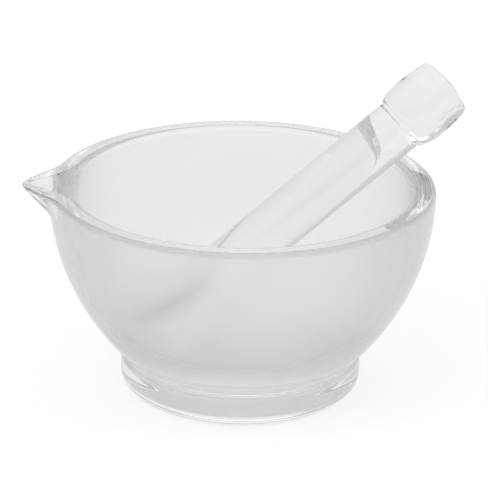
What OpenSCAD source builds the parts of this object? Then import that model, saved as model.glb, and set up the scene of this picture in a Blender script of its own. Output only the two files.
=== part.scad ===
// Glass mortar and pestle for the laboratory bench.
// Millimetres, +Z up. The origin is the centre of the foot's flat underside,
// and the pouring spout points along -X.

/* [Mortar] */
// Outer diameter across the rim
rim_d = 120; // [100:1:144]
// Height from the bench to the rim
mortar_h = 66.5; // [55:0.5:80]
// Thickness of the wall at the rim
rim_wall = 7.6; // [6:0.1:9.2]
// Rounding of the rim's outer edge
rim_outer_round = 1.7; // [0.8:0.1:2.2]
// Rounding of the rim's inner edge
rim_inner_round = 0.8; // [0.4:0.1:1.5]
// Diameter of the foot
foot_d = 75.5; // [62:0.5:92]
// Height of the foot
foot_h = 10.5; // [8.5:0.5:13]
// Rounding of the foot's lower edge
foot_lower_round = 5; // [3:0.5:6]
// Rounding of the foot's upper edge
foot_upper_round = 1.2; // [0.6:0.1:1.6]
// Width of the ledge between the foot's side and the bowl
foot_ledge = 1.9; // [1.7:0.1:2.5]
// Fillet in the corner between the ledge and the bowl, as far as the ledge has room
foot_fillet = 0.6; // [0.2:0.1:1]
// Glass under the lowest point of the bowl
bowl_floor = 8.5; // [7:0.5:11]

/* [Spout] */
// How far the tip reaches past the rim, before its edges are rounded
spout_reach = 8.5; // [7:0.1:10.2]
// Width between the places where the two straight lips meet the rim
spout_w = 26.5; // [22:0.5:32]
// How far below the rim the keel leaves the wall
spout_drop = 10.5; // [9:0.5:13]
// How far below the rim the keel would meet the tip, if the tip weren't rounded
spout_front = 0.4; // [0.2:0.1:1]
// Rounding of the tip, seen from above
spout_tip_r = 1.6; // [1.3:0.1:2]
// Rounding of the lips' outer edge
lip_outer_round = 0.8; // [0.5:0.1:0.9]
// Rounding of the lips' inner edge
lip_inner_round = 0.6; // [0.4:0.1:0.8]
// Thickness of the glass at the tip
spout_wall = 2.8; // [2.3:0.1:3.4]
// Width of the fillets where the lips and the keel run into the wall
spout_fillet = 1.6; // [1:0.1:2.5]
// Depth of the pouring channel at the inside of the wall
channel_depth = 9; // [7.5:0.5:11]
// Width of the channel where it opens into the bowl
channel_w = 30; // [25:0.5:36]
// Rounding of the channel's bottom
channel_bottom_r = 1; // [0.6:0.1:1.5]

/* [Pestle] */
// Length over all
pestle_l = 124; // [104:0.5:148]
// Diameter of the shaft below the knob
shaft_d = 17.4; // [14.5:0.1:19]
// Diameter of the shaft above the head
shaft_lower_d = 16.8; // [14:0.1:18.4]
// Diameter of the knob
knob_d = 22.3; // [20:0.1:26.8]
// Length of the knob
knob_l = 20.5; // [17:0.5:25]
// Height of the curved shoulder between the shaft and the knob's side
knob_shoulder = 4; // [3:0.1:5]
// Rounding of the knob's upper edge
knob_round = 3.2; // [2.5:0.1:4]
// How far the knob's end bulges
knob_dome = 1.2; // [0.8:0.1:1.5]
// Diameter of the grinding head
head_d = 26; // [22:0.5:31]
// Length of the head, from its tip to where the shaft begins
head_l = 32; // [27:0.5:38]

/* [Rest pose] */
// Direction the pestle leans in, turned from +X about the bowl's axis
lean_turn = 16.5; // [0:0.5:45]
// How far behind the bowl's axis the head's centre lies, against the lean
head_offset = 19; // [15:0.5:21]
// How far to the side of the bowl's axis the head's centre lies
head_side = 6; // [0:0.5:8]
// Clearance between the pestle and the mortar where it rests
rest_gap = 0.3; // [0.2:0.05:0.5]

/* [Hidden] */
$fn = 96;
curve_steps = 28;
short_steps = 14;
round_steps = 8;
edge_steps = 3;
slope_steps = 9;
turn_steps = 12;

rim_r = rim_d / 2;
bowl_r = rim_r - rim_wall;
foot_r = foot_d / 2;
cove_r = foot_r - foot_ledge;
spout_tip = rim_r + spout_reach;
shaft_r = shaft_d / 2;
shaft_lower_r = shaft_lower_d / 2;
knob_r = knob_d / 2;
head_r = head_d / 2;

// Points of a cubic curve from a to d, pulled towards b and c
function curve(a, b, c, d, steps = curve_steps) =
    [for (i = [0 : steps]) let (t = i / steps, u = 1 - t)
        u * u * u * a + 3 * u * u * t * b + 3 * u * t * t * c + t * t * t * d];

// Points of an arc about centre c, from angle a0 to angle a1
function arc(c, r, a0, a1, steps = round_steps) =
    [for (i = [0 : steps]) let (a = a0 + (a1 - a0) * i / steps) c + r * [cos(a), sin(a)]];

// The bowl's outside, from the rim's rounding down to the foot's ledge:
// upright at the rim and flaring where it meets the foot
side_uprightness = 0.44;
side_flare = 0.5;
flare_angle = 45;
side_top = [rim_r, mortar_h - rim_outer_round];
side_foot = [cove_r, foot_h];
side_drop = side_top[1] - side_foot[1];
side_spread = side_top[0] - side_foot[0];
side_curve = curve(side_top, side_top - [0, side_uprightness * side_drop],
    side_foot + side_flare * side_spread * [1, tan(flare_angle)], side_foot);

// The rounding of the rim's outer edge, from the outside up to its top
rim_outer_edge = arc(side_top - [rim_outer_round, 0], rim_outer_round, 0, 90);

// The fillet between the flare and the ledge: it touches both, so it reaches out
// along the ledge by its radius over the tangent of half their angle
fillet_spread = 1 / tan(flare_angle / 2);
cove_round = min(foot_fillet, (foot_ledge - foot_upper_round) / fillet_spread);
cove_fillet = arc(side_foot + cove_round * [fillet_spread, 1], cove_round, 270, 90 + flare_angle);

// The bowl's inside, from the rim's inner rounding down to the lowest point:
// upright at the rim and level at the bottom, fuller than a plain ellipse
bowl_fullness = 0.66;
bowl_top = [bowl_r, mortar_h - rim_inner_round];
bowl_bottom = [0, bowl_floor];
bowl_curve = curve(bowl_top, bowl_top - [0, bowl_fullness * (bowl_top[1] - bowl_floor)],
    [bowl_fullness * bowl_r, bowl_floor], bowl_bottom);

// The rounding of the rim's inner edge, from its top down to the bowl's inside
rim_inner_edge = arc([bowl_r + rim_inner_round, mortar_h - rim_inner_round], rim_inner_round, 90, 180);

// Half of the pestle's outline, standing on its tip at the origin: a ball for
// the grinding head, a flare into the tapered shaft, and a knob to hold
knob_start = pestle_l - knob_l;
flare_start = [head_r, head_r + 2];
flare_end = [shaft_lower_r, head_l];
neck = [shaft_r, knob_start];
shoulder = [knob_r, knob_start + knob_shoulder];
end_turn = 84;
pestle_side = concat(
    arc([0, head_r], head_r, -90, 0, short_steps),
    curve(flare_start, flare_start + [0, 6], flare_end - [0, 7], flare_end, short_steps),
    curve(neck, neck + [1.6, 0.4], shoulder - [0, 2.4], shoulder, round_steps),
    arc([knob_r - knob_round, pestle_l - knob_dome - knob_round], knob_round, 0, end_turn));

// The radius of an outline at a height
function radius_at(outline, height) = lookup(height, [for (p = outline) [p[1], p[0]]]);

// Where the pestle rests: the head's centre is a ball's centre above the bowl's
// curve, with the clearance kept
head_lift = head_r + rest_gap;
head_out = norm([head_offset, head_side]);
head_z = max([for (p = bowl_curve) for (side = [-1, 1])
    let (away = side * p[0] + head_out)
    if (abs(away) < head_lift) p[1] + sqrt(head_lift * head_lift - away * away)]);

// The angle about the head's centre between the pestle's axis and a point at
// this distance, where the point clears the pestle's side. Each round takes the
// radius from the place on the axis that the round before it found.
function clear_angle(distance, angle = 0, rounds = 6) = rounds == 0 ? angle :
    clear_angle(distance, asin((radius_at(pestle_side, head_r + distance * cos(angle)) + rest_gap)
        / distance), rounds - 1);

// The lean is the least at which every point of the rim's edge is clear
lean = max([for (p = rim_inner_edge)
    let (run = sqrt(p[0] * p[0] - head_side * head_side) + head_offset, rise = p[1] - head_z)
    atan2(rise, run) + clear_angle(norm([run, rise]))]);

module mortar_outline() {
    polygon(concat(
        [[0, 0]],
        arc([foot_r - foot_lower_round, foot_lower_round], foot_lower_round, -90, 0),
        arc([foot_r - foot_upper_round, foot_h - foot_upper_round], foot_upper_round, 0, 90),
        cove_fillet,
        [for (i = [curve_steps - 1 : -1 : 0]) side_curve[i]],
        rim_outer_edge,
        [[0, mortar_h]]));
}

module bowl_outline() {
    above = 1;
    polygon(concat(
        [[0, mortar_h + above], [bowl_r + rim_inner_round, mortar_h + above]],
        rim_inner_edge,
        bowl_curve));
}

// The larger of two distances, with a round fillet of this width where they are
// nearly alike
function filleted(a, b, width) = let (share = min(1, max(0, 0.5 + 0.5 * (b - a) / width)))
    (1 - share) * a + share * b + width * share * (1 - share);

// How far the rounding of the mortar's upper edge draws a side back at a height
function edge_back(round, height) = let (up = min(round, max(0, height - mortar_h + round)))
    round - sqrt(round * round - up * up);

// The spout's and the channel's skins are worked out as distances from the bowl's
// axis, at a height and at a turn from the spout's axis. Away from the spout they
// run this far inside the skin of the wall, so that they cross it cleanly.
skin_gap = 0.15;

// In plan the lips are straight, and the tip between them is round: the angle of
// the line from the rim that touches the tip's circle
rim_run = spout_tip - spout_tip_r - sqrt(rim_r * rim_r - spout_w * spout_w / 4);
lip_angle = atan2(spout_w / 2, rim_run) - asin(spout_tip_r / norm([spout_w / 2, rim_run]));
tip_turn = atan2(spout_tip_r, spout_tip * tan(lip_angle));
function lip_reach(tip, turn) =
    tip * sin(lip_angle + tip_turn) / sin(lip_angle + norm([turn, tip_turn]));

// From the side the keel is a straight slope, from the wall up to the tip's front
keel_wall = radius_at(side_curve, mortar_h - spout_drop);
keel_slope = (spout_tip - keel_wall) / (spout_drop - spout_front);
function keel_reach(height) =
    spout_tip - filleted(0, keel_slope * (mortar_h - spout_front - height), lip_outer_round);

function spout_skin(height, turn) = filleted(
    radius_at(concat(side_curve, rim_outer_edge), height) - skin_gap,
    lip_reach(keel_reach(height), turn) - edge_back(lip_outer_round, height),
    spout_fillet);

// The channel's bottom is a straight slope, from the inside of the wall up to the
// tip. In plan its sides are parabolas that run tangent into the bowl.
channel_tip = spout_tip - spout_wall;
channel_wall = radius_at(bowl_curve, mortar_h - channel_depth);
channel_slope = (channel_tip - channel_wall) / channel_depth;
channel_turn = asin(channel_w / 2 / bowl_r);
bottom_turn = asin(channel_bottom_r / channel_tip);
function channel_skin(height, turn) = let (
        wall = radius_at(concat(rim_inner_edge, bowl_curve), height) - skin_gap,
        bottom = channel_tip - channel_slope * (mortar_h - height) + edge_back(lip_inner_round, height),
        side = (norm([turn, bottom_turn]) - bottom_turn) / channel_turn,
        share = pow(max(0, 1 - side), 2))
    wall + share * (filleted(wall, bottom, spout_fillet) - wall);

// Heights of the level sections: even steps up to the upper edge's rounding, and
// even turns of that rounding
function section_heights(start, round) = concat(
    [for (i = [0 : slope_steps]) start + (mortar_h - round - start) * i / slope_steps],
    [for (i = [1 : edge_steps]) mortar_h - round + round * sin(90 * i / edge_steps)]);

// Turns of the sections' points, closer together at the spout's axis
widest_turn = asin((max(spout_w, channel_w) / 2 + 2 * spout_fillet) / bowl_r);
section_turns = [for (i = [-turn_steps : turn_steps])
    widest_turn * sign(i) * pow(abs(i) / turn_steps, 1.5)];

function spout_point(distance, turn, height) =
    [-distance * cos(turn), -distance * sin(turn), height];

// One section: its points on the skin, closed by two points nearer to the axis
function section(height, distances, back_r) = concat(
    [for (i = [0 : 2 * turn_steps]) spout_point(distances[i], section_turns[i], height)],
    [spout_point(back_r, widest_turn, height), spout_point(back_r, -widest_turn, height)]);

// A solid through level sections, from the lowest to the highest. Each four-sided
// stretch of its skin is split along its shorter diagonal.
module loft(sections) {
    count = len(sections[0]);
    top = (len(sections) - 1) * count;
    points = [for (points = sections) each points];
    polyhedron(
        points = points,
        faces = concat(
            [[for (i = [0 : count - 1]) i]],
            [for (low = [0 : count : top - 1]) for (i = [0 : count - 1])
                let (a = low + i, b = low + (i + 1) % count, c = b + count, d = a + count)
                each norm(points[a] - points[c]) < norm(points[b] - points[d])
                    ? [[a, d, c], [a, c, b]] : [[a, d, b], [b, d, c]]],
            [[for (i = [count - 1 : -1 : 0]) top + i]]));
}

// The spout's glass: two lips that run from the rim to the tip, and the keel that
// slopes back under them. Its back lies inside the wall.
module spout_body() {
    start = mortar_h - spout_drop - 2 * spout_fillet;
    loft([for (height = section_heights(start, lip_outer_round))
        section(height, [for (turn = section_turns) spout_skin(height, turn)],
            (rim_r + bowl_r) / 2)]);
}

// The pouring channel, which is open upwards. Its back lies inside the bowl.
module spout_channel() {
    above = 1;
    start = mortar_h - channel_depth - 2 * spout_fillet;
    heights = section_heights(start, lip_inner_round);
    rings = [for (height = heights)
        section(height, [for (turn = section_turns) channel_skin(height, turn)], bowl_r / 2)];
    loft(concat(rings, [[for (p = rings[len(rings) - 1]) p + [0, 0, above]]]));
}

module mortar() {
    color([0.87, 0.89, 0.89, 0.8])
    difference() {
        union() {
            rotate_extrude() mortar_outline();
            spout_body();
        }
        rotate_extrude() bowl_outline();
        spout_channel();
    }
}

module pestle_outline() {
    polygon(concat(pestle_side, [[0, pestle_l]]));
}

module pestle() {
    color([0.90, 0.92, 0.93, 0.8])
    rotate([0, 0, lean_turn])
    translate([-head_offset, head_side, head_z])
    rotate([0, 90 - lean, 0])
    translate([0, 0, -head_r])
    rotate_extrude() pestle_outline();
}

mortar();
pestle();
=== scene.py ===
"""The looks of a laboratory mortar and pestle in heavy pressed glass.

The mortar is one thick-walled bowl on a round foot, clear and fire-polished outside, with a pouring
spout and a finely ground inside. The pestle is a solid glass rod with a ground, ball-ended head and a
knob, and it leans loose in the bowl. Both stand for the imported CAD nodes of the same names, on their
bodies and inside their box, with softer edges at the rim, the spout's tip and the knob. Shapes are
worked out in millimetres and turned to metres in the mesh.
"""

import logging
import math
from dataclasses import dataclass
from enum import Enum

import bpy
import numpy as np
from mathutils import Matrix, Vector


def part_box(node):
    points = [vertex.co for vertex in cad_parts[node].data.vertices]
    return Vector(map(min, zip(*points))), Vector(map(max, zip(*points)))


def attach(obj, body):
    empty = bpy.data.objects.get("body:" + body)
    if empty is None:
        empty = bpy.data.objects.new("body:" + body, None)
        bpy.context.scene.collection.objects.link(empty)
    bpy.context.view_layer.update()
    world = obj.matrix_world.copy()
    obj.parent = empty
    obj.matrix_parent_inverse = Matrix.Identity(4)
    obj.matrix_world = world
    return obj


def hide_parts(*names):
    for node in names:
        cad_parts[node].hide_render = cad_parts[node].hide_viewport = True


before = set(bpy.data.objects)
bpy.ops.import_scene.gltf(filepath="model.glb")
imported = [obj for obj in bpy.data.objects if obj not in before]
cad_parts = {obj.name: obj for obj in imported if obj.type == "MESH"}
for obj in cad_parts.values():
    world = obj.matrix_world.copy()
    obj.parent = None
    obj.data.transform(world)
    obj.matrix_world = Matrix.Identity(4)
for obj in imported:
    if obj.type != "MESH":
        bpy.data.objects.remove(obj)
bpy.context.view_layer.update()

LOG = logging.getLogger("mortar_and_pestle")
MM = 0.001

# A pair of numbers: mostly radius and height in millimetres.
Pair = tuple[float, float]


# ---------------------------------------------------------------- lines and surfaces


def cubic(start: Pair | np.ndarray, pull: Pair, push: Pair, end: Pair | np.ndarray,
          steps: int) -> np.ndarray:
    """Points of a cubic curve: u^3 a + 3 u^2 t b + 3 u t^2 c + t^3 d, with u = 1 - t.

    Args:
        start, end: the curve's two ends a and d, as (radius, height).
        pull, push: how far the points b and c, which draw the curve, lie from its start and its end.
        steps: how many stretches the curve has.

    Returns:
        An array of steps + 1 rows of radius and height.
    """
    t = np.linspace(0.0, 1.0, steps + 1)[:, None]
    u = 1.0 - t
    a, d = np.asarray(start, float), np.asarray(end, float)
    b, c = a + pull, d + push
    return u**3 * a + 3 * u**2 * t * b + 3 * u * t**2 * c + t**3 * d


def arc(centre: Pair, radius: float, start: float, end: float, steps: int) -> np.ndarray:
    """Points of a circle's arc: centre + radius (cos a, sin a).

    Args:
        centre: the circle's centre, as (radius, height).
        radius: the circle's own radius.
        start, end: the angle a at the two ends, in degrees.
        steps: how many stretches the arc has.

    Returns:
        An array of steps + 1 rows of radius and height.
    """
    a = np.radians(np.linspace(start, end, steps + 1))
    return np.asarray(centre, float) + radius * np.stack([np.cos(a), np.sin(a)], axis=1)


def straight(start: Pair, end: Pair, steps: int) -> np.ndarray:
    """Points of a straight line with even steps, both ends among them."""
    t = np.linspace(0.0, 1.0, steps + 1)[:, None]
    return (1.0 - t) * np.asarray(start, float) + t * np.asarray(end, float)


def smooth_max(a: np.ndarray, b: np.ndarray, width: float) -> np.ndarray:
    """The larger of a and b, with a round fillet where they are within width of each other.

    With h the share of b, which runs from 0 to 1 as b - a runs from -width to width, the value is
    (1 - h) a + h b + width h (1 - h).

    Args:
        a, b: the two arrays, of shapes that go together.
        width: the fillet's width.

    Returns:
        The filleted maximum.
    """
    h = np.clip(0.5 + 0.5 * (b - a) / width, 0.0, 1.0)
    return (1.0 - h) * a + h * b + width * h * (1.0 - h)


def edge_back(rounding: float, depth: np.ndarray) -> np.ndarray:
    """How far an upper edge's rounding draws a side back at a depth: r - sqrt(r^2 - (r - depth)^2)."""
    up = np.clip(rounding - depth, 0.0, rounding)
    return rounding - np.sqrt(rounding**2 - up**2)


def closed_grid(points: np.ndarray, name: str) -> bpy.types.Mesh:
    """Makes a closed skin from rows of points that run round an axis.

    The first and the last row are poles: each is one vertex, and a fan of triangles closes the skin
    there. Between them each cell of the grid is a four-sided face, and the last column joins the first.

    Args:
        points: an array of rows by columns by 3, in millimetres, rows running outside upwards.
        name: the mesh's name.

    Returns:
        The mesh, in metres, smooth shaded, with its faces outward.
    """
    rows, columns, _ = points.shape
    ring = points[1:-1].reshape(-1, 3)
    poles = np.stack([points[0].mean(axis=0), points[-1].mean(axis=0)])
    first, last = len(ring), len(ring) + 1
    here = np.arange(columns)
    after = np.roll(here, -1)
    low = np.arange(rows - 3)[:, None] * columns
    quads = np.stack([low + here, low + after, low + columns + after, low + columns + here], axis=-1)
    top = (rows - 3) * columns
    fan_a = np.stack([np.full(columns, first), after, here], axis=-1)
    fan_b = np.stack([np.full(columns, last), top + here, top + after], axis=-1)
    mesh = bpy.data.meshes.new(name)
    faces = fan_a.tolist() + quads.reshape(-1, 4).tolist() + fan_b.tolist()
    mesh.from_pydata(np.concatenate([ring, poles]) * MM, [], faces)
    mesh.polygons.foreach_set("use_smooth", np.ones(len(mesh.polygons), bool))
    mesh.update()
    return mesh


def add_object(name: str, data: bpy.types.ID) -> bpy.types.Object:
    """Puts an object into the scene.

    Args:
        name: the object's name.
        data: its mesh, lamp or camera.

    Returns:
        The object.
    """
    made = bpy.data.objects.new(name, data)
    bpy.context.scene.collection.objects.link(made)
    return made


def glass_piece(name: str, points: np.ndarray, ground: np.ndarray,
                materials: tuple[bpy.types.Material, bpy.types.Material]) -> bpy.types.Object:
    """Makes a piece of glass that is clear in places and ground in others.

    Args:
        name: the piece's name.
        points: the grid that closed_grid takes.
        ground: for each row and column of the grid, whether the face that starts there is ground.
        materials: the clear glass and the ground glass.

    Returns:
        The piece, in the scene.
    """
    mesh = closed_grid(points, name)
    for material in materials:
        mesh.materials.append(material)
    mesh.polygons.foreach_set("material_index", ground[:-1].astype(np.int32).ravel())
    return add_object(name, mesh)


# ---------------------------------------------------------------- finishes


def linear(hex_colour: str) -> tuple[float, float, float, float]:
    """Turns an sRGB hex colour into the linear colour that shaders take, by sRGB's own curve.

    Args:
        hex_colour: the colour, such as #F2F2F2.

    Returns:
        Red, green, blue and an alpha of 1.
    """
    parts = [int(hex_colour[i : i + 2], 16) / 255.0 for i in (1, 3, 5)]
    red, green, blue = [p / 12.92 if p <= 0.04045 else ((p + 0.055) / 1.055) ** 2.4 for p in parts]
    return red, green, blue, 1.0


def add_node(tree: bpy.types.NodeTree, kind: str, links: dict[str | int, object] | None = None,
             **settings: object) -> bpy.types.Node:
    """Adds one node.

    Args:
        tree: the node tree.
        kind: the node's type, such as ShaderNodeBump.
        links: from an input's name or number to an output socket, which is linked, or a plain value.
        settings: the node's own settings.

    Returns:
        The node.
    """
    node = tree.nodes.new(kind)
    for key, value in settings.items():
        setattr(node, key, value)
    for key, value in (links or {}).items():
        if isinstance(value, bpy.types.NodeSocket):
            tree.links.new(value, node.inputs[key])
        else:
            node.inputs[key].default_value = value
    return node


# Input numbers of a Mix node's two colours, and the number of the output that holds its result.
COLOUR_A = 6
COLOUR_B = 7
MIXED_COLOUR = 2


def mix_colours(tree: bpy.types.NodeTree, share: bpy.types.NodeSocket, first: object,
                second: object) -> bpy.types.NodeSocket:
    """Mixes two colours, each a socket or a plain value; a share of 1 gives the second alone."""
    mix = add_node(tree, "ShaderNodeMix", {"Factor": share, COLOUR_A: first, COLOUR_B: second},
                   data_type="RGBA")
    return mix.outputs[MIXED_COLOUR]


def empty_material(name: str) -> bpy.types.Material:
    """Makes a material with nodes.

    Args:
        name: the material's name.

    Returns:
        The material, with nothing in its node tree yet.
    """
    material = bpy.data.materials.new(name)
    material.use_nodes = True
    material.node_tree.nodes.clear()
    return material


@dataclass(frozen=True)
class Glass:
    """Soda-lime glass, pressed in a mould.

    Attributes:
        name: the material's name.
        tint: the colour that light takes where it crosses the skin.
        roughness: 0 for a fire-polished skin, higher for a ground one.
        ior: 1.52 is soda-lime glass.
        wave_mm: spacing of the slow waves that pressing leaves in the skin.
        wave_height_mm: height of those waves.
        grain_mm: spacing of the grinding's grain, drawn coarse enough to show.
        grain_height_mm: height of that grain; 0 leaves it out.
    """

    name: str
    tint: str = "#FFFFFF"
    roughness: float = 0.0
    ior: float = 1.52
    wave_mm: float = 14.0
    wave_height_mm: float = 0.05
    grain_mm: float = 0.5
    grain_height_mm: float = 0.0

    def material(self) -> bpy.types.Material:
        """Builds the node material: clear or ground glass with its waves and grain as bump.

        Returns:
            The material.
        """
        material = empty_material(self.name)
        tree = material.node_tree
        place = add_node(tree, "ShaderNodeTexCoord")
        waves = add_node(tree, "ShaderNodeTexNoise", {"Vector": place.outputs["Object"],
                         "Scale": 1.0 / (self.wave_mm * MM), "Detail": 1.0})
        bump = add_node(tree, "ShaderNodeBump", {"Height": waves.outputs["Fac"], "Strength": 1.0,
                        "Distance": self.wave_height_mm * MM})
        if self.grain_height_mm > 0:
            grain = add_node(tree, "ShaderNodeTexNoise", {"Vector": place.outputs["Object"],
                             "Scale": 1.0 / (self.grain_mm * MM), "Detail": 2.0})
            bump = add_node(tree, "ShaderNodeBump", {"Height": grain.outputs["Fac"], "Strength": 1.0,
                            "Distance": self.grain_height_mm * MM, "Normal": bump.outputs["Normal"]})
        glass = add_node(tree, "ShaderNodeBsdfPrincipled", {"Base Color": linear(self.tint),
                         "Roughness": self.roughness, "IOR": self.ior, "Transmission Weight": 1.0,
                         "Normal": bump.outputs["Normal"]})
        add_node(tree, "ShaderNodeOutputMaterial", {"Surface": glass.outputs["BSDF"]})
        return material


class Finish(Enum):
    """The finishes that the glass has."""

    # Fire-polished pressed glass: bright, water-clear, with slow waves that bend what is behind it.
    CLEAR = Glass("clear_soda_lime_glass")
    # Glass ground with grit, inside the bowl: white and dull, lets light through but no picture.
    GROUND = Glass("ground_soda_lime_glass", roughness=0.42, wave_height_mm=0.02, grain_mm=0.3,
                   grain_height_mm=0.0015)
    # Glass ground with finer grit, as on the pestle's head: hazy, and shapes still show through.
    FINE_GROUND = Glass("fine_ground_soda_lime_glass", roughness=0.18, wave_height_mm=0.02, grain_mm=0.3,
                        grain_height_mm=0.0015)


def glass_materials() -> dict[Finish, bpy.types.Material]:
    """Makes the material of every finish."""
    return {finish: finish.value.material() for finish in Finish}


@dataclass(frozen=True)
class Laminate:
    """White laminate on a table: even, matt and without a pattern.

    Where glass shows it, and where the eye sees it, it glows, so that it looks white there and still
    takes the object's shadow.

    Attributes:
        name: the material's name.
        plain: its colour for all other light.
        in_glass: colour and glow where glass mirrors it or lets it through.
        to_eye: colour and glow where the eye sees it.
    """

    name: str = "white_table_laminate"
    plain: str = "#F2F2F2"
    in_glass: tuple[str, float] = ("#606060", 0.75)
    to_eye: tuple[str, float] = ("#8A8A8A", 0.78)

    def material(self) -> bpy.types.Material:
        """Builds the node material: a matt surface for each kind of light that meets it.

        Returns:
            The material.
        """
        material = empty_material(self.name)
        tree = material.node_tree
        path = add_node(tree, "ShaderNodeLightPath")
        mix = add_node(tree, "ShaderNodeBsdfDiffuse", {"Color": linear(self.plain)})
        bent = add_node(tree, "ShaderNodeMath", {0: path.outputs["Is Glossy Ray"],
                        1: path.outputs["Is Transmission Ray"]}, operation="MAXIMUM")
        for share, (colour, glow) in ((bent.outputs[0], self.in_glass),
                                      (path.outputs["Is Camera Ray"], self.to_eye)):
            soft = add_node(tree, "ShaderNodeBsdfDiffuse", {"Color": linear(colour)})
            light = add_node(tree, "ShaderNodeEmission", {"Color": linear("#FFFFFF"), "Strength": glow})
            both = add_node(tree, "ShaderNodeAddShader", {0: soft.outputs[0], 1: light.outputs[0]})
            mix = add_node(tree, "ShaderNodeMixShader", {0: share, 1: mix.outputs[0], 2: both.outputs[0]})
        add_node(tree, "ShaderNodeOutputMaterial", {"Surface": mix.outputs[0]})
        return material


# ---------------------------------------------------------------- the mortar


@dataclass
class Spout:
    """The beak that is drawn out of the rim and points along -X. Sizes are in millimetres.

    Attributes:
        rim_r, bowl_r: radius of the rim's outside and of the bowl's inside.
        keel_wall_r: radius of the outside where the keel leaves it.
        channel_wall_r: radius of the inside where the pouring channel leaves it.
        reach: how far the tip reaches past the rim, before its edges are rounded.
        width: width between the places where the straight lips meet the rim.
        drop: how far below the rim the keel leaves the wall.
        front: how far below the rim the keel would meet the tip, if the tip weren't rounded.
        tip_r: rounding of the tip, seen from above.
        outer_round, inner_round: rounding of the lips' edges.
        wall: thickness of the glass at the tip.
        fillet: width of the fillets where the lips and the keel run into the wall.
        channel_depth: depth of the pouring channel at the inside of the wall.
        channel_width: width of the channel where it opens into the bowl.
        channel_bottom_r: rounding of the channel's bottom.
    """

    rim_r: float
    bowl_r: float
    keel_wall_r: float
    channel_wall_r: float
    reach: float = 8.5
    width: float = 26.5
    drop: float = 10.5
    front: float = 0.4
    tip_r: float = 4.0
    outer_round: float = 0.8
    inner_round: float = 0.6
    wall: float = 2.8
    fillet: float = 1.6
    channel_depth: float = 9.0
    channel_width: float = 30.0
    channel_bottom_r: float = 1.0

    def keel(self, depth: np.ndarray) -> np.ndarray:
        """The keel: a straight slope out to the tip, rounded where it meets the tip's front.

        Args:
            depth: how far below the rim, in rows.

        Returns:
            The keel's distance from the bowl's axis.
        """
        tip = self.rim_r + self.reach
        slope = (tip - self.keel_wall_r) / (self.drop - self.front)
        return tip - smooth_max(np.zeros_like(depth), slope * (depth - self.front), self.outer_round)

    def lips(self, depth: np.ndarray, turn: np.ndarray) -> np.ndarray:
        """Distance of the beak's outside from the bowl's axis.

        At each depth the beak is a wedge with its apex on the keel. With h the angle between the
        beak's axis and a side, and b the turn from that axis, a side lies at apex sin(h) / sin(h + b).
        The apex is rounded by taking b as sqrt(b^2 + t^2), with t the turn that gives the tip its
        radius.

        Args:
            depth: how far below the rim, in rows.
            turn: turn from the beak's axis in radians, in columns.

        Returns:
            The distance. Past the turn where a side faces away from the bowl's axis, and deeper than
            twice the keel's drop, it is so far inside the wall that the fillet leaves the wall alone.
        """
        tip, half = self.rim_r + self.reach, self.width / 2
        run = tip - self.tip_r - math.sqrt(self.rim_r**2 - half**2)
        h = math.atan2(half, run) - math.asin(self.tip_r / math.hypot(half, run))
        t = math.atan2(self.tip_r, tip * math.tan(h))
        b = np.sqrt(turn**2 + t**2)
        limit = math.pi / 2 - h
        reach = self.keel(depth) * math.sin(h + t) / np.sin(h + np.minimum(b, limit))
        beak = (b < limit) & (depth < 2 * self.drop)
        return np.where(beak, reach - edge_back(self.outer_round, depth), -self.fillet)

    def channel(self, wall: np.ndarray, depth: np.ndarray, turn: np.ndarray) -> np.ndarray:
        """How far the pouring channel draws the inside of the wall out.

        The channel's bottom is a straight slope from the tip's glass down to the inside of the
        wall. Across, its reach falls as the square of (1 - turn / widest turn), so that its sides
        run tangent into the bowl.

        Args:
            wall: radius of the bowl's inside, in rows.
            depth: how far below the rim, in rows.
            turn: turn from the beak's axis in radians, in columns.

        Returns:
            The reach of the channel past the wall, for each row and column.
        """
        end = self.rim_r + self.reach - self.wall
        bottom = end - (end - self.channel_wall_r) * depth / self.channel_depth
        bottom = bottom + edge_back(self.inner_round, depth)
        round_turn = math.asin(self.channel_bottom_r / end)
        widest = math.asin(self.channel_width / 2 / self.bowl_r)
        side = (np.sqrt(turn**2 + round_turn**2) - round_turn) / widest
        share = np.maximum(0.0, 1.0 - side) ** 2
        return share * (smooth_max(wall, bottom, self.fillet) - wall)


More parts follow.
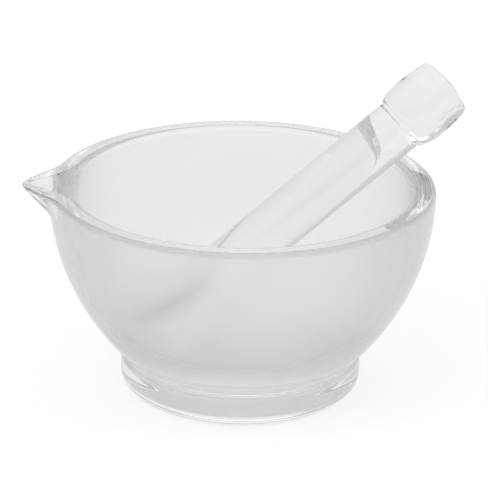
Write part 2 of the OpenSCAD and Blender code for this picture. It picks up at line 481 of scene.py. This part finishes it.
@dataclass
class Mortar:
    """The mortar: foot, bowl, rim and spout in one piece of glass. Sizes are in millimetres.

    Attributes:
        rim_r, height: radius of the rim's outside and height of the rim.
        wall: thickness of the wall at the rim.
        rim_outer_round, rim_inner_round: rounding of the rim's two edges.
        foot_r, foot_h: radius and height of the foot.
        foot_lower_round, foot_upper_round: rounding of the foot's two edges.
        foot_ledge: width of the ledge between the foot's side and the bowl.
        cove_round: rounding of the inner corner where the bowl's side leaves the ledge.
        side_uprightness: how much of the side's height runs up to the rim almost upright.
        side_flare: how much of the side's spread it takes at 45 degrees as it leaves the ledge.
        bowl_floor: height of the bowl's lowest point.
        bowl_fullness: how far the bowl keeps its width and its floor keeps level: 0.55 is an ellipse.
        clear_lip: how far below the rim the grinding ends.
        clear_draw: how far the channel may draw the wall out before the grinding ends.
        crowding: how much closer together the columns lie at the spout, below 1.
        columns: how many columns of points run round the mortar.
        curve_steps: how many stretches the outlines of the side and of the bowl have.
        top_steps: how many stretches the rim's flat top has.
    """

    rim_r: float
    height: float
    wall: float = 7.6
    rim_outer_round: float = 1.7
    rim_inner_round: float = 2.4
    foot_r: float = 37.75
    foot_h: float = 10.5
    foot_lower_round: float = 5.0
    foot_upper_round: float = 1.2
    foot_ledge: float = 1.9
    cove_round: float = 0.29
    side_uprightness: float = 0.44
    side_flare: float = 0.5
    bowl_floor: float = 8.5
    bowl_fullness: float = 0.66
    clear_lip: float = 1.2
    clear_draw: float = 0.5
    crowding: float = 0.78
    columns: int = 400
    curve_steps: int = 90
    top_steps: int = 7

    @classmethod
    def from_frame(cls) -> "Mortar":
        """Takes the rim and the height from the CAD node's box."""
        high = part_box("mortar")[1]
        return cls(rim_r=min(high.x, high.y) / MM, height=high.z / MM)

    def turns(self) -> np.ndarray:
        """Angle of each column from the spout's axis, in radians, closer together at the spout.

        With s going evenly round, the angle is s - crowding sin(s).
        """
        s = np.linspace(-math.pi, math.pi, self.columns, endpoint=False)
        return s - self.crowding * np.sin(s)

    def side(self) -> np.ndarray:
        """The bowl's outside, from the foot's ledge up to the rim's rounding: one cubic curve.

        Returns:
            Rows of radius and height, upwards.
        """
        foot = (self.foot_r - self.foot_ledge, self.foot_h)
        top = (self.rim_r, self.height - self.rim_outer_round)
        flare = self.side_flare * (top[0] - foot[0])
        upright = self.side_uprightness * (top[1] - foot[1])
        return cubic(foot, (flare, flare), (0.0, -upright), top, self.curve_steps)

    def bowl(self) -> np.ndarray:
        """The bowl's inside, from the rim's inner rounding down to the lowest point: a cubic curve.

        Returns:
            Rows of radius and height, downwards.
        """
        bowl_r = self.rim_r - self.wall
        top = (bowl_r, self.height - self.rim_inner_round)
        drop = self.bowl_fullness * (top[1] - self.bowl_floor)
        level = self.bowl_fullness * bowl_r
        return cubic(top, (0.0, -drop), (level, 0.0), (0.0, self.bowl_floor), self.curve_steps)

    def spout(self) -> Spout:
        """The spout, tied to the wall's outside and inside.

        Returns:
            The spout, with the radii where its keel and its channel leave the wall.
        """
        side, bowl = self.side(), self.bowl()
        keel_wall_r = np.interp(self.height - Spout.drop, side[:, 1], side[:, 0])
        channel_wall_r = np.interp(Spout.channel_depth, self.height - bowl[:, 1], bowl[:, 0])
        return Spout(rim_r=self.rim_r, bowl_r=self.rim_r - self.wall, keel_wall_r=float(keel_wall_r),
                     channel_wall_r=float(channel_wall_r))

    def outside(self) -> np.ndarray:
        """Outline from the middle of the underside up over the rim's outer rounding.

        The side leaves the ledge at 45 degrees, so the cove's arc touches both at its radius over
        tan(22.5 degrees) from the corner. The side's rows start above that arc, so that the outline
        never turns back.

        Returns:
            Rows of radius and height, upwards.
        """
        foot_r, foot_h, low, up = self.foot_r, self.foot_h, self.foot_lower_round, self.foot_upper_round
        cove_reach = self.cove_round / math.tan(math.radians(22.5))
        cove_centre = (foot_r - self.foot_ledge + cove_reach, foot_h + self.cove_round)
        cove = arc(cove_centre, self.cove_round, 270, 135, steps=6)[1:]
        side = self.side()[:-1]
        rounding = self.rim_outer_round
        return np.concatenate([
            straight((0.0, 0.0), (foot_r - low, 0.0), steps=10)[:-1],
            arc((foot_r - low, low), low, -90, 0, steps=14),
            straight((foot_r, low), (foot_r, foot_h - up), steps=4)[1:-1],
            arc((foot_r - up, foot_h - up), up, 0, 90, steps=8),
            cove,
            side[side[:, 1] > cove[-1, 1]],
            arc((self.rim_r - rounding, self.height - rounding), rounding, 0, 90, steps=10),
        ])

    def inside(self) -> np.ndarray:
        """Outline from the rim's top over its inner rounding down to the bowl's lowest point.

        Returns:
            Rows of radius and height, downwards.
        """
        rounding = self.rim_inner_round
        edge = (self.rim_r - self.wall + rounding, self.height - rounding)
        return np.concatenate([arc(edge, rounding, 90, 180, steps=8), self.bowl()[1:]])

    def points(self) -> tuple[np.ndarray, np.ndarray]:
        """Works out the whole skin.

        The outside takes the larger of its own radius and the spout's, with a fillet between them.
        The inside is drawn out by the pouring channel, and the rim's flat top joins the two.

        Returns:
            The grid of points, and for each of them whether the face that starts there is ground.
            The grinding stops short of the rim and of the channel.
        """
        turn = self.turns()[None, :]
        spout, outside, inside = self.spout(), self.outside(), self.inside()
        outer = smooth_max(outside[:, :1], spout.lips(self.height - outside[:, 1:], turn), spout.fillet)
        drawn = spout.channel(inside[:, :1], self.height - inside[:, 1:], turn)
        inner = inside[:, :1] + drawn
        inward = np.linspace(0.0, 1.0, self.top_steps + 1)[1:-1, None]
        top = outer[-1:] * (1 - inward) + inner[:1] * inward
        radius = np.concatenate([outer, top, inner])
        height = np.concatenate([outside[:, 1], np.full(len(top), self.height), inside[:, 1]])
        height = height[:, None] * np.ones_like(turn)
        grid = np.stack([-radius * np.cos(turn), -radius * np.sin(turn), height], axis=-1)
        ground = np.zeros(radius.shape, bool)
        below_lip = inside[:, 1:] < self.height - self.clear_lip
        ground[-len(inside):] = below_lip & (drawn < self.clear_draw)
        return grid, ground

    def build(self, materials: dict[Finish, bpy.types.Material]) -> bpy.types.Object:
        """Makes the mortar's piece and lets it stand for its CAD node.

        Args:
            materials: every finish as a material.

        Returns:
            The piece.
        """
        finishes = (materials[Finish.CLEAR], materials[Finish.GROUND])
        piece = glass_piece("mortar_glass", *self.points(), finishes)
        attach(piece, "mortar")
        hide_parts("mortar")
        return piece


# ---------------------------------------------------------------- the pestle


@dataclass
class Pestle:
    """The pestle: ground ball-ended head, tapered shaft and knob. Sizes are in millimetres.

    Heights are above the pestle's tip, along its axis. A curve's pulls say how far the two points that
    draw it lie from its start and its end, each as (radius, height).

    Attributes:
        head_centre: middle of the head's ball, in the scene.
        direction: the axis, from the head up to the knob, one long.
        length: length of the CAD node.
        head_r, head_l: radius of the head's ball, and the height where its flare meets the shaft.
        head_belt: height of the straight belt between the ball and the flare.
        shaft_lower_r, shaft_r: radius of the shaft at the head and at the knob.
        knob_r, knob_l: radius of the knob at its shoulder, and its length.
        knob_shoulder: height of the shoulder over the neck.
        knob_end_r, knob_round, knob_dome: radius at the knob's end, its edge's rounding, its dome.
        knob_edge: the part of a circle that the edge's rounding takes, in degrees.
        flare_pulls, shoulder_pulls, swell_pulls: pulls of the flare, the shoulder and the knob's side.
        dome_pull: first pull of the dome.
        dome_flat: how much of the dome's radius is almost flat.
        end_trim: how far the knob's end stays inside the CAD node's.
        knob_wave, shaft_wave: mean depth of the slow waves in the knob and in the shaft.
        windings: each slow wave's share, waves round the rod, radians per millimetre, and phase.
        neck_blend, end_fade: over what height the waves change at the neck and end at the knob's end.
        ground_l: height up to which the head is ground.
        columns: how many columns of points run round the pestle.
    """

    head_centre: np.ndarray
    direction: np.ndarray
    length: float
    head_r: float = 13.0
    head_l: float = 32.0
    head_belt: float = 2.0
    shaft_lower_r: float = 8.4
    shaft_r: float = 8.7
    knob_r: float = 10.8
    knob_l: float = 20.5
    knob_shoulder: float = 6.5
    knob_end_r: float = 10.3
    knob_round: float = 2.2
    knob_dome: float = 1.3
    knob_edge: Pair = (4.0, 78.0)
    flare_pulls: tuple[Pair, Pair] = ((0.0, 6.0), (0.0, -7.0))
    shoulder_pulls: tuple[Pair, Pair] = ((1.3, 0.3), (-0.05, -3.2))
    swell_pulls: tuple[Pair, Pair] = ((0.1, 3.0), (0.25, -3.0))
    dome_pull: Pair = (-2.6, 0.55)
    dome_flat: float = 0.4
    end_trim: float = 0.05
    knob_wave: float = 0.16
    shaft_wave: float = 0.03
    windings: tuple[tuple[float, ...], ...] = ((0.45, 2.0, 0.35, 0.0), (0.35, 3.0, -0.8, 1.0),
                                               (0.2, 5.0, 1.3, 2.0))
    neck_blend: float = 4.0
    end_fade: float = 3.0
    ground_l: float = 24.0
    columns: int = 192

    @classmethod
    def from_frame(cls) -> "Pestle":
        """Finds the pestle's axis and length from its CAD node.

        The axis is the direction in which the node's surface spreads furthest: the largest
        eigenvector of the second moment of its triangles, each weighted by its area.

        Returns:
            The pestle, in the place where it rests.
        """
        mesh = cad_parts["pestle"].data
        mesh.calc_loop_triangles()
        corner = np.zeros(len(mesh.vertices) * 3)
        mesh.vertices.foreach_get("co", corner)
        index = np.zeros(len(mesh.loop_triangles) * 3, int)
        mesh.loop_triangles.foreach_get("vertices", index)
        triangle = corner.reshape(-1, 3)[index].reshape(-1, 3, 3) / MM
        edges = triangle[:, 1:] - triangle[:, :1]
        area = np.linalg.norm(np.cross(edges[:, 0], edges[:, 1]), axis=1)
        middle = triangle.mean(axis=1)
        centre = (middle * area[:, None]).sum(axis=0) / area.sum()
        spread = (middle - centre).T @ ((middle - centre) * area[:, None])
        direction = np.linalg.eigh(spread)[1][:, -1]
        direction = direction * np.sign(direction[2])
        along = (triangle.reshape(-1, 3) - centre) @ direction
        head_centre = centre + (along.min() + cls.head_r) * direction
        return cls(head_centre=head_centre, direction=direction, length=float(along.max() - along.min()))

    def knob_start(self) -> float:
        """Height where the knob begins."""
        return self.length - self.knob_l

    def outline(self) -> np.ndarray:
        """Half of the pestle's outline, as radius and height.

        The head is half a ball that flares into the shaft. The knob is a soft barrel: a shoulder out
        of the neck, a side that swells a little, a rounded edge and a low dome.

        Returns:
            Rows from the tip to the middle of the knob's end.
        """
        end = self.length - self.end_trim
        flare_start = (self.head_r, self.head_r + self.head_belt)
        flare_end = (self.shaft_lower_r, self.head_l)
        neck = (self.shaft_r, self.knob_start())
        shoulder = (self.knob_r, self.knob_start() + self.knob_shoulder)
        edge_centre = (self.knob_end_r - self.knob_round, end - self.knob_dome - self.knob_round)
        edge = arc(edge_centre, self.knob_round, *self.knob_edge, steps=14)
        dome_push = (edge[-1][0] * self.dome_flat, 0.0)
        return np.concatenate([
            arc((0.0, self.head_r), self.head_r, -90, 0, steps=40),
            cubic(flare_start, *self.flare_pulls, flare_end, steps=30),
            straight(flare_end, neck, steps=40)[1:-1],
            cubic(neck, *self.shoulder_pulls, shoulder, steps=20),
            cubic(shoulder, *self.swell_pulls, edge[0], steps=20)[1:-1],
            edge,
            cubic(edge[-1], self.dome_pull, dome_push, (0.0, end), steps=16)[1:],
        ])

    def waves(self, height: np.ndarray, turn: np.ndarray) -> np.ndarray:
        """How far the hot working of the rod leaves its skin short of a true round, in millimetres.

        It is size (1 + the sum of share sin(waves round turn + radians per mm height + phase)). The
        size goes from none at the head over the shaft's to the knob's, and back to none at the end.

        Args:
            height: height above the tip, in rows.
            turn: angle round the axis in radians, in columns.

        Returns:
            The depth of the waves, for each row and column.
        """
        neck = self.knob_start()
        places = [self.ground_l, self.head_l, neck - self.neck_blend, neck + self.neck_blend,
                  self.length - self.end_fade, self.length]
        sizes = [0.0, self.shaft_wave, self.shaft_wave, self.knob_wave, self.knob_wave, 0.0]
        winding = sum(share * np.sin(count * turn + twist * height + phase)
                      for share, count, twist, phase in self.windings)
        return np.interp(height, places, sizes) * (1.0 + winding)

    def points(self) -> tuple[np.ndarray, np.ndarray]:
        """Works out the skin: the outline carried round the axis, in the place where the pestle rests.

        A point is the head's centre + radius (cos turn, sin turn) across the axis + its height over
        the centre along the axis. The waves fade towards the two ends, where the radius goes to 0.

        Returns:
            The grid of points, and for each of them whether the face that starts there is ground.
        """
        line = self.outline()
        turn = np.linspace(0, 2 * math.pi, self.columns, endpoint=False)[None, :]
        along = self.direction
        side = np.cross(along, (0.0, 0.0, 1.0))
        side = side / np.linalg.norm(side)
        other = np.cross(along, side)
        radius, height = line[:, :1], line[:, 1:]
        radius = radius - self.waves(height, turn) * np.minimum(1.0, radius / self.shaft_lower_r)
        grid = (self.head_centre
                + (radius * np.cos(turn))[..., None] * side
                + (radius * np.sin(turn))[..., None] * other
                + ((height - self.head_r) * np.ones_like(turn))[..., None] * along)
        return grid, (height < self.ground_l) & np.ones(turn.shape, bool)

    def build(self, materials: dict[Finish, bpy.types.Material]) -> bpy.types.Object:
        """Makes the pestle's piece and lets it stand for its CAD node.

        Args:
            materials: every finish as a material.

        Returns:
            The piece.
        """
        finishes = (materials[Finish.CLEAR], materials[Finish.FINE_GROUND])
        piece = glass_piece("pestle_glass", *self.points(), finishes)
        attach(piece, "pestle")
        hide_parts("pestle")
        return piece


# ---------------------------------------------------------------- the studio


# Brightness by height above the horizon, in steps of (sine of the elevation, brightness).
Stops = tuple[Pair, ...]

# Brightness of the white paper round the table, of the dark gaps in it, of the window straight behind
# the table, and of the dimmer left and front of the room.
PAPER = 0.84
GAP = 0.45
WINDOW = 1.8
LEFT = 0.58
FRONT = 0.3
PAPER_OVER_GAP: Stops = ((0.0, PAPER), (0.02, PAPER), (0.035, GAP), (0.05, GAP), (0.065, PAPER))
GAP_UNDER_CEILING: Stops = ((0.48, GAP), (0.55, GAP), (0.66, 0.85), (1.0, 0.9))


def light_ramp(tree: bpy.types.NodeTree, height: bpy.types.NodeSocket,
               stops: Stops) -> bpy.types.NodeSocket:
    """Adds a ramp of greys over the height above the horizon.

    Args:
        tree: the world's node tree.
        height: the socket that gives the sine of the elevation.
        stops: the brightness by height.

    Returns:
        The socket that gives the light.
    """
    ramp = add_node(tree, "ShaderNodeValToRGB", {0: height})
    elements = ramp.color_ramp.elements
    elements[0].position, elements[-1].position = stops[0][0], stops[-1][0]
    for place, _ in stops[1:-1]:
        elements.new(place)
    for element, (_, value) in zip(elements, stops, strict=True):
        element.color = (value, value, value, 1.0)
    return ramp.outputs[0]


@dataclass(frozen=True)
class RoomSide:
    """A side of the room whose light differs from the rest.

    Attributes:
        axis: the axis that points to the side or away from it.
        start, full: the direction's share along the axis where the side begins and where it is alone.
        stops: its brightness by height.
    """

    axis: str
    start: float
    full: float
    stops: Stops


@dataclass(frozen=True)
class Lamp:
    """A square soft lamp that is aimed at the object and shows neither in glass nor through it.

    Attributes:
        name: the lamp's name.
        place: where it hangs, in metres.
        size: its side, in metres.
        power: its power, in watts.
        aim: the point it is aimed at.
    """

    name: str
    place: tuple[float, float, float]
    size: float
    power: float
    aim: tuple[float, float, float] = (0.0, 0.0, 0.04)

    def build(self) -> None:
        """Hangs the lamp."""
        data = bpy.data.lights.new(self.name, "AREA")
        data.energy = self.power
        data.size = self.size
        lamp = add_object(self.name, data)
        lamp.location = self.place
        ray = Vector(self.aim) - Vector(self.place)
        lamp.rotation_euler = ray.to_track_quat("-Z", "Y").to_euler()
        lamp.visible_glossy = False
        lamp.visible_transmission = False


@dataclass
class Studio:
    """A bright table under soft light: floor, world, lamps and camera.

    Attributes:
        azimuth, elevation: where the camera stands round the object and above it, in degrees.
        distance: how far the camera stands from its aim, in metres.
        roll: how far the camera is turned round its own axis, in degrees.
        lens, sensor: the camera's focal length and the width of its frame, in millimetres.
        aim: the point that the camera looks at, in metres.
        floor_half: half the floor's width, in metres.
        floor_z: the floor's height, in metres: a hair below the foot, so that the two never touch.
        room: the room's brightness by height, apart from its sides.
        sides: the room's sides: a bright window straight behind, a dimmer left and a dark front.
        lamps: a large soft lamp at the upper left and a weaker one at the right.
        bounces: how many surfaces light may cross, enough for two pieces of thick glass.
    """

    azimuth: float = -2.0
    elevation: float = 21.57
    distance: float = 0.960
    roll: float = 0.784
    lens: float = 226.9
    sensor: float = 36.0
    aim: tuple[float, float, float] = (0.00065, -0.00002, 0.0463)
    floor_half: float = 3.0
    floor_z: float = -5e-5
    room: Stops = (*PAPER_OVER_GAP, (0.42, PAPER), *GAP_UNDER_CEILING)
    sides: tuple[RoomSide, ...] = (
        RoomSide("Y", 0.84, 0.9,
                 ((0.0, PAPER), (0.28, PAPER), (0.32, WINDOW), (0.42, WINDOW), *GAP_UNDER_CEILING)),
        RoomSide("X", -0.2, -0.45,
                 (*PAPER_OVER_GAP, (0.15, PAPER), (0.25, LEFT), (0.6, LEFT), (0.7, 0.85), (1.0, 0.9))),
        RoomSide("Y", -0.3, -0.6,
                 ((0.0, PAPER), (0.03, PAPER), (0.08, FRONT), (0.5, FRONT), (0.68, 0.85), (1.0, 0.9))),
    )
    lamps: tuple[Lamp, ...] = (Lamp("key", (-0.7, -0.6, 1.1), 0.8, 6.0),
                               Lamp("fill", (0.9, -0.3, 0.8), 0.6, 2.5))
    bounces: int = 32

    def camera(self) -> None:
        """Puts up the camera: it looks at the aim from an azimuth, an elevation and a distance."""
        a, e = math.radians(self.azimuth), math.radians(self.elevation)
        away = Vector((math.sin(a) * math.cos(e), -math.cos(a) * math.cos(e), math.sin(e)))
        data = bpy.data.cameras.new("camera")
        data.lens = self.lens
        data.sensor_width = self.sensor
        data.clip_start = 0.01
        camera = add_object("camera", data)
        turned = (-away).to_track_quat("-Z", "Y").to_matrix().to_4x4()
        camera.matrix_world = (Matrix.Translation(Vector(self.aim) + away * self.distance)
                               @ turned @ Matrix.Rotation(math.radians(self.roll), 4, "Z"))
        bpy.context.scene.camera = camera

    def floor(self) -> None:
        """Lays the pale floor, one flat square."""
        half, z = self.floor_half, self.floor_z
        mesh = bpy.data.meshes.new("floor")
        mesh.from_pydata([(-half, -half, z), (half, -half, z), (half, half, z), (-half, half, z)], [],
                         [(0, 1, 2, 3)])
        mesh.materials.append(Laminate().material())
        floor = add_object("floor", mesh)

    def world(self) -> None:
        """Sets the room's light, which changes with height, and differently at its sides.

        White paper behind the table runs up to a dark gap under the ceiling's soft light. On the left
        the paper ends low, and the front of the room is dark above the table. To the eye the room is
        plain white.
        """
        world = bpy.data.worlds.new("bright_room")
        bpy.context.scene.world = world
        world.use_nodes = True
        tree = world.node_tree
        tree.nodes.clear()
        place = add_node(tree, "ShaderNodeTexCoord")
        split = add_node(tree, "ShaderNodeSeparateXYZ", {0: place.outputs["Generated"]})
        room = light_ramp(tree, split.outputs["Z"], self.room)
        for side in self.sides:
            share = add_node(tree, "ShaderNodeMapRange", {"Value": split.outputs[side.axis],
                             "From Min": side.start, "From Max": side.full},
                             interpolation_type="SMOOTHSTEP")
            room = mix_colours(tree, share.outputs[0], room,
                               light_ramp(tree, split.outputs["Z"], side.stops))
        path = add_node(tree, "ShaderNodeLightPath")
        seen = mix_colours(tree, path.outputs["Is Camera Ray"], room, (1.0, 1.0, 1.0, 1.0))
        back = add_node(tree, "ShaderNodeBackground", {"Color": seen, "Strength": 1.0})
        add_node(tree, "ShaderNodeOutputWorld", {"Surface": back.outputs[0]})

    def build(self) -> None:
        """Sets the studio up."""
        self.camera()
        self.floor()
        self.world()
        for lamp in self.lamps:
            lamp.build()
        bpy.context.scene.view_settings.view_transform = "Standard"
        for limit in ("max_bounces", "transmission_bounces", "glossy_bounces"):
            setattr(bpy.context.scene.cycles, limit, self.bounces)


def main() -> None:
    """Builds the studio and the two pieces."""
    logging.basicConfig(level=logging.INFO, format="%(name)s: %(message)s")
    Studio().build()
    materials = glass_materials()
    for maker in (Mortar.from_frame(), Pestle.from_frame()):
        piece = maker.build(materials)
        LOG.info("%s: %d faces", piece.name, len(piece.data.polygons))


if __name__ == "__main__":
    main()
